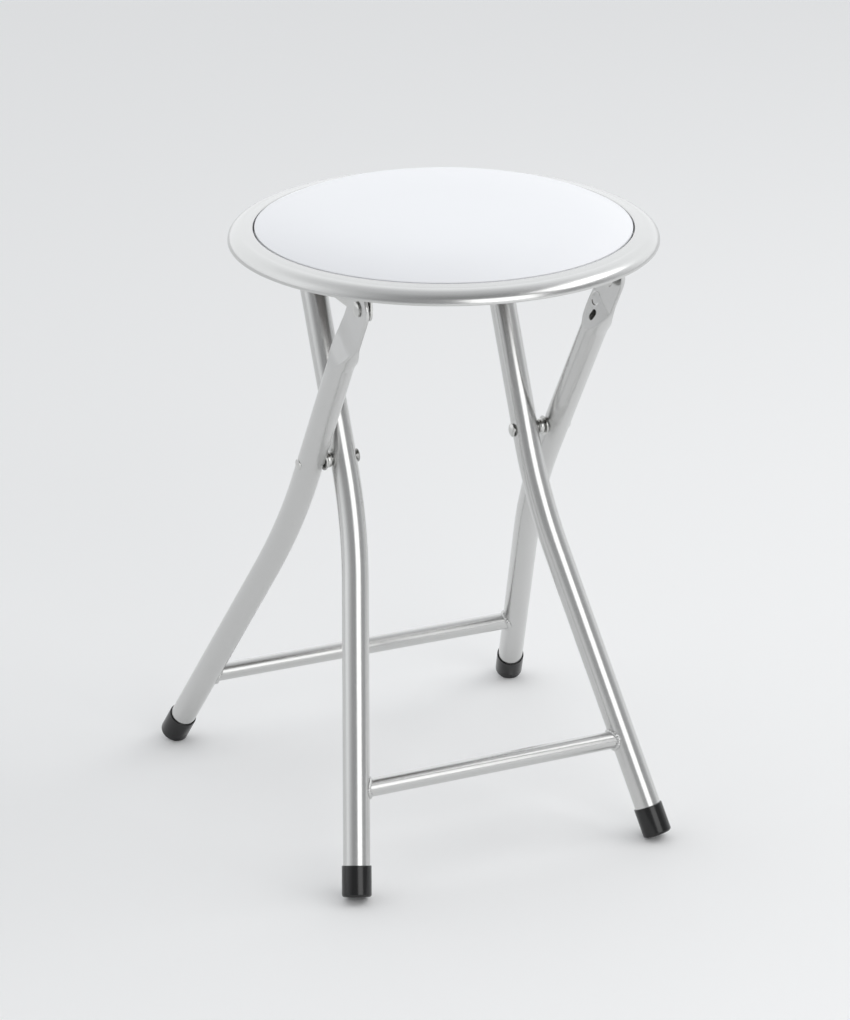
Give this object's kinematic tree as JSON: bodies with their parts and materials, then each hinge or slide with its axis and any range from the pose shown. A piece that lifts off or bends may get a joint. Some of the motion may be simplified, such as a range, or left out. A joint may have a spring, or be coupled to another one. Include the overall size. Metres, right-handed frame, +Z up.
{
  "type": "folding stool",
  "caption": "Round padded folding stool: two crossed tube frames on a rivet pivot, a disc seat that hinges up on two rails and hooks over the rear frame's top bar.",
  "frame": {"origin": "centre of the bounding box at the floor, under the middle of the stool", "axes": "+Z up, +X along the hinge and pivot line towards the right-hand frame, -Y towards the hinged side of the seat, where the inner frame's feet stand"},
  "size_m": [0.3048, 0.3482, 0.4636],
  "materials": {
    "silver_paint": "satin silver metallic enamel",
    "bright_steel": "bright zinc-plated steel",
    "black_caps": "smooth black moulded",
    "white_vinyl": "smooth semi-gloss vinyl sheet",
    "seat_foam": "open-cell cut foam",
    "seat_board": "raw plywood disc"
  },
  "bodies": {
    "outer_frame": {"outer_leg_left": "silver_paint", "outer_leg_right": "silver_paint", "outer_cross_bar": "silver_paint", "outer_bar_welds": "silver_paint", "outer_foot_left": "black_caps", "outer_foot_right": "black_caps", "pivot_rivet_left": "bright_steel", "pivot_rivet_right": "bright_steel", "pivot_spacer_left": "bright_steel", "pivot_spacer_right": "bright_steel", "pivot_washers": "bright_steel", "hinge_rivet_left": "bright_steel", "hinge_rivet_right": "bright_steel", "hinge_washers": "bright_steel"},
    "inner_frame": {"inner_frame_tube": "silver_paint", "inner_cross_bar": "silver_paint", "inner_bar_welds": "silver_paint", "inner_foot_left": "black_caps", "inner_foot_right": "black_caps"},
    "seat": {"seat_ring": "silver_paint", "seat_board": "seat_board", "seat_foam": "seat_foam", "seat_cover": "white_vinyl", "hinge_rail_left": "bright_steel", "hinge_rail_right": "bright_steel", "rail_screws": "bright_steel", "bar_catch_left": "bright_steel", "bar_catch_right": "bright_steel", "catch_screws": "bright_steel"}
  },
  "joints": [
    {"name": "seat_hinge", "type": "hinge", "parent": "outer_frame", "child": "seat", "pos_m": [0, -0.0985, 0.4208], "axis": [1, 0, 0], "range_deg": [0, 120]},
    {"name": "frame_pivot", "type": "hinge", "parent": "outer_frame", "child": "inner_frame", "pos_m": [0, -0.0091, 0.27998], "axis": [1, 0, 0], "range_deg": [0, 52.8]}
  ],
  "couplings": [
    {"joint": "frame_pivot", "follows": "seat_hinge", "ratio": 0.44}
  ]
}
